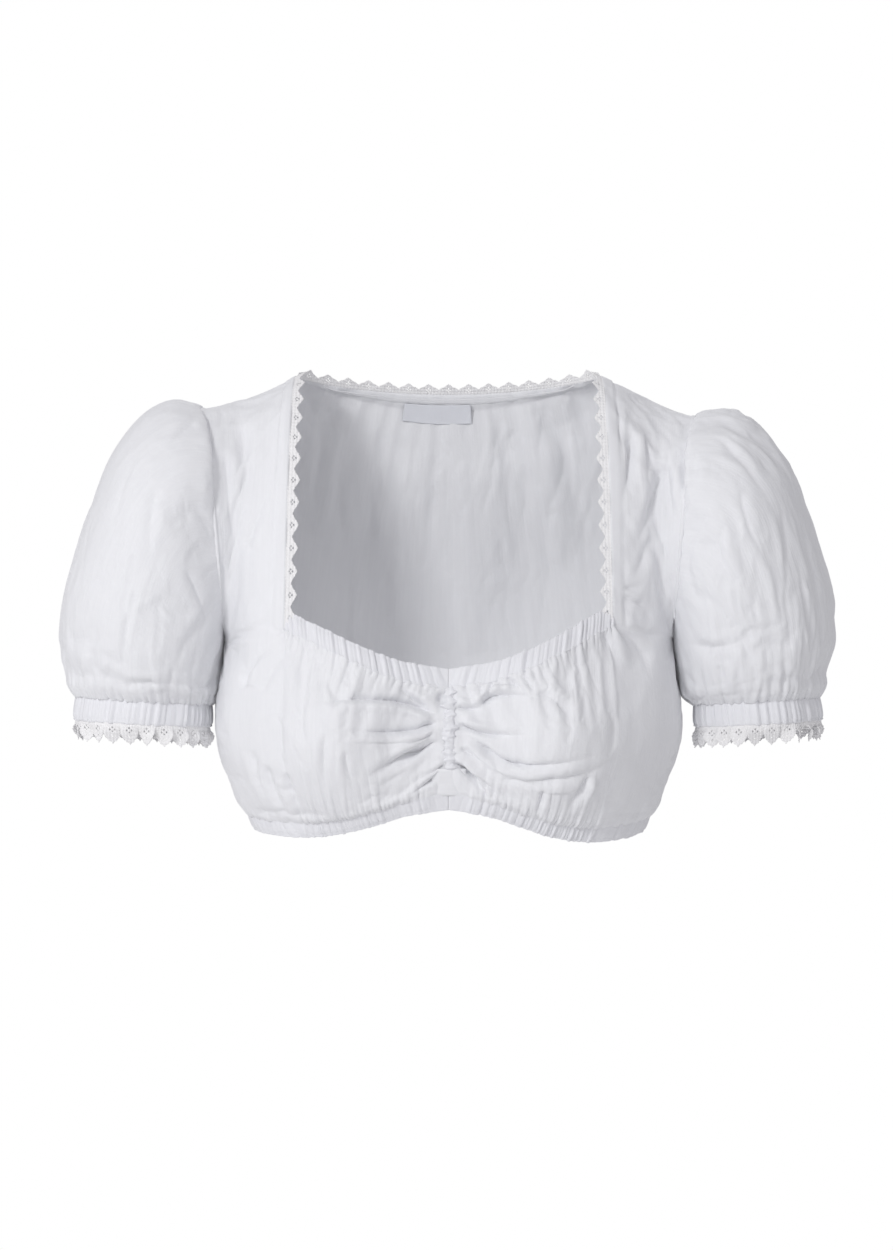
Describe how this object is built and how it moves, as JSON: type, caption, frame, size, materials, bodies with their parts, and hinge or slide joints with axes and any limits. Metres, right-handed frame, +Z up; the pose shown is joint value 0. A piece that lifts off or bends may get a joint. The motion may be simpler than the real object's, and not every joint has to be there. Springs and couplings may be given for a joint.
{
  "type": "dirndl blouse",
  "caption": "Worn-shape cropped dirndl blouse with short puff sleeves, low gathered neckline, elastic hem and cuffs, and pointed lace edging.",
  "frame": {"origin": "middle of the line between the two shoulder seams, at the height where they meet the neckline, where the wearer's shoulders hold the blouse up", "axes": "+Z up as worn, +X towards the wearer's left sleeve, +Y towards the back, so the front faces -Y"},
  "size_m": [0.558, 0.2251, 0.3397],
  "materials": {
    "cotton": "fine woven white cotton, faintly slubbed, matt",
    "casing": "the same cotton, folded double over elastic and gathered",
    "lace": "off-white cotton lace, matt, raised thread",
    "label": "blank white woven satin tape"
  },
  "bodies": {
    "root": {"front_right": "cotton", "front_left": "cotton", "back": "cotton", "sleeve_right": "cotton", "sleeve_left": "cotton", "neck_casing_right": "casing", "neck_casing_left": "casing", "hem_casing_front_right": "casing", "hem_casing_front_left": "casing", "hem_casing_back": "casing", "cuff_casing_right": "casing", "cuff_casing_left": "casing", "cuff_lace_right": "lace", "cuff_lace_left": "lace", "neck_lace_right": "lace", "neck_lace_left": "lace", "neck_lace_back": "lace", "back_neck_facing": "cotton", "label": "label", "centre_ruching": "casing", "centre_tab": "cotton"}
  },
  "joints": []
}
